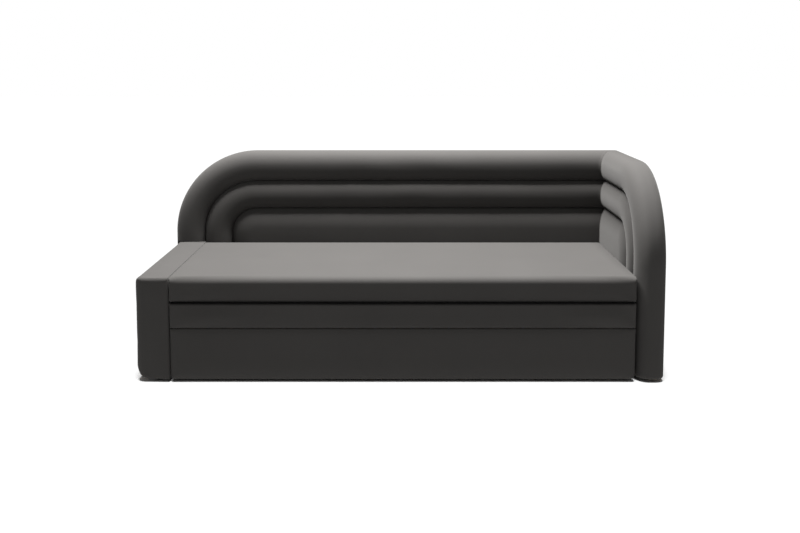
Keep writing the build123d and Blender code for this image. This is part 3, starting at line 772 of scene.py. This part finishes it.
# %% Mattress leaves
rim = 0.006
leaves = (("upper_mattress", "upper_leaf", "upper_mattress", 0.030, 0.0015),
          ("lower_mattress", "lower_leaf", "frame", 0.010, 0.0005))
for node, name, body, front_round, top_room in leaves:
    leaf_low, leaf_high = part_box(node)
    low = leaf_low + Vector((-0.0005, 0.003, 0))
    high = leaf_high + Vector((0.001, -0.0015, -top_room))
    rounds = {"front top": front_round, "bottom front": 0.009, "front left": 0.010, "front right": 0.012}
    leaf = soft_block(low, high, rounds, 0.005, 0.022)

    def on_rim(point, low=low, high=high):
        ends = point.x < low.x + rim or point.x > high.x - rim
        return ends or point.y > high.y - rim or point.z < low.z + 0.001

    swell(leaf, on_rim, 0.004)
    keep_inside(leaf, leaf_low - Vector((0.0015, 0, 0)), leaf_high + Vector((0.001, 0, 0)))
    settle(leaf, name, node, body)

# %% [markdown]
# The arm is a low box, fully rounded on its outer side and crisp where the mattress lies against it. It is
# hollow: boards fill it, so a box is cut out of the swollen block and stays open where it meets the back.

# %% Arm
arm = soft_block(arm_low + Vector((0.001, 0.003, 0)), arm_high - Vector((0.0, 0.0, 0.0015)), {
    "bottom left": 0.060, "front left": 0.034, "left top": 0.022,
    "front top": 0.018, "bottom front": 0.008, "front right": 0.009,
}, 0.003, 0.018)
swell(arm, lambda point: point.x > arm_high.x - 0.006 or point.y > arm_high.y - 0.004, 0.003)
keep_inside(arm, arm_low, arm_high)
board_gap = 0.0003
open_behind = 0.02
cut(arm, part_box("arm_outer_board")[0] - Vector((board_gap,) * 3),
    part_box("arm_inner_board")[1] + Vector((board_gap, open_behind, board_gap)))
settle(arm, "arm_upholstery", "arm_cover")

# %% [markdown]
# The pull-out's front is a board in a padded cover. The cover is the same kind of block, only thinner, with a
# pocket for the board cut from behind.

# %% Front of the pull-out
drawer_low, drawer_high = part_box("drawer_front_cover")
proud = 0.001
front_panel = soft_block(drawer_low + Vector((0.0005, 0.003, 0)), drawer_high + Vector((0.0005, 0, proud)), {
    "bottom left": 0.015, "bottom right": 0.018, "bottom front": 0.009,
    "front left": 0.010, "front right": 0.012, "front top": 0.009,
}, 0.002, 0.022)
swell(front_panel, lambda point: point.y > drawer_low.y + 0.009 or point.z > drawer_high.z - 0.002, 0.003)
keep_inside(front_panel, drawer_low - Vector((0.001, 0, 0)), drawer_high + Vector((0.0005, 0, proud)))
board_low, board_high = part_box("drawer_front_board")
open_above = 0.03
cut(front_panel, board_low - Vector((board_gap,) * 3),
    board_high + Vector((board_gap, open_behind, open_above)))
settle(front_panel, "pullout_front", "drawer_front_cover", "pullout")

# %% [markdown]
# The two leaves are joined at the front by a cloth tape, sewn to the lower leaf's top and to the upper leaf's
# underside. Closed, it is folded double in the gap. Opened, it lies flat across the joint, with its upper half
# on the upper leaf and only the fold bent; here it is built only closed, and joined to no body.

# %% Hinge tape
flip = next(joint for joint in frame["joints"] if joint["name"] == "mattress_flip")
crease = Vector(flip["pos_m"])
fold = 0.0016
fold_steps = 8
upper_low, upper_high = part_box("upper_mattress")
tape_left, tape_right = upper_low.x + 0.008, upper_high.x - 0.010
tape_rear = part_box("mattress_hinge_tape")[1].y
wing = tape_rear - crease.y - fold
tape = start("plane", size=1)
for vertex in tape.data.vertices:
    across = tape_right if vertex.co.x > 0 else tape_left
    deep = tape_rear if vertex.co.y > 0 else crease.y + fold
    vertex.co = (across, deep, crease.z - fold)
pick(tape, "edges", lambda centre, edge: abs(centre.y - crease.y - fold) < 1e-5)
for step in range(fold_steps):
    before, after = pi * step / fold_steps, pi * (step + 1) / fold_steps
    extrude((0, -fold * (sin(after) - sin(before)), fold * (cos(before) - cos(after))))
extrude((0, wing, 0))
leave_edit()
thick = tape.modifiers.new("thick", "SOLIDIFY")
thick.thickness = 0.0007
thick.offset = 0
apply_modifiers(tape)
settle(tape, "hinge_tape", "mattress_hinge_tape", body=None, slot="tape", crease=80)
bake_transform(tape)

# %% [markdown]
# The stage is a white floor under a white sky, which leaves only a faint shadow where the bed meets the
# floor. Light linking lets each lamp reach only some objects. A large softbox over the seat lights the
# upholstery, and a broad weak sun in front lifts the faces that look forward. Bare wood is far paler than
# charcoal velour, so it gets a weaker copy of the softbox, or it would burn out. The floor has its own sun.

# %% Floor, light and finish
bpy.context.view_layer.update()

floor = start("plane", size=60)
floor.name = "floor"
floor_finish = Finish("pale_floor")
floor_finish.feed(Base_Color=(0.93, 0.93, 0.93, 1), Roughness=0.9, Specular_IOR_Level=0.0)
floor.data.materials.append(floor_finish.material)
floor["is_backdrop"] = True

world = bpy.data.worlds.new("studio")
bpy.context.scene.world = world
world.use_nodes = True
sky = world.node_tree.nodes
lighting, seen = sky["Background"], sky.new("ShaderNodeBackground")
mixed = sky.new("ShaderNodeMixShader")
for background, strength in ((lighting, 0.15), (seen, 1.0)):
    background.inputs["Color"].default_value = (1, 1, 1, 1)
    background.inputs["Strength"].default_value = strength
for first, second in ((sky.new("ShaderNodeLightPath").outputs["Is Camera Ray"], mixed.inputs[0]),
                      (lighting.outputs[0], mixed.inputs[1]), (seen.outputs[0], mixed.inputs[2]),
                      (mixed.outputs[0], sky["World Output"].inputs["Surface"])):
    world.node_tree.links.new(first, second)
bpy.context.scene.view_settings.view_transform = "Standard"


def lamp(name, kind, energy, place, receivers, lean=0.0):
    """Hang a lamp over the bed that lights only some objects, leaning it back by an angle in degrees."""
    data = bpy.data.lights.new(name, kind)
    data.energy = energy
    light = bpy.data.objects.new(name, data)
    bpy.context.scene.collection.objects.link(light)
    light.location = place
    light.rotation_euler = (radians(lean), 0, 0)
    linked = bpy.data.collections.new(name)
    for receiver in receivers:
        linked.objects.link(receiver)
    light.light_linking.receiver_collection = linked
    return data


hard_parts = list(frame["nodes"].values())
upholstery = [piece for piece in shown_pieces() if piece not in hard_parts]
for name, energy, receivers in (("softbox", 960, upholstery), ("bare_parts_light", 110, hard_parts)):
    softbox = lamp(name, "AREA", energy, (-0.1, 0.2, 4.2), receivers)
    softbox.shape = "RECTANGLE"
    softbox.size, softbox.size_y = 3.2, 0.8
lamp("front_light", "SUN", 0.45, (0, -3, 4), upholstery, 45).angle = radians(50)
lamp("floor_light", "SUN", 3.2, (0, 0, 4), [floor], 8).angle = radians(12)
print("lit", len(upholstery), "soft pieces and", len(hard_parts), "frame nodes")
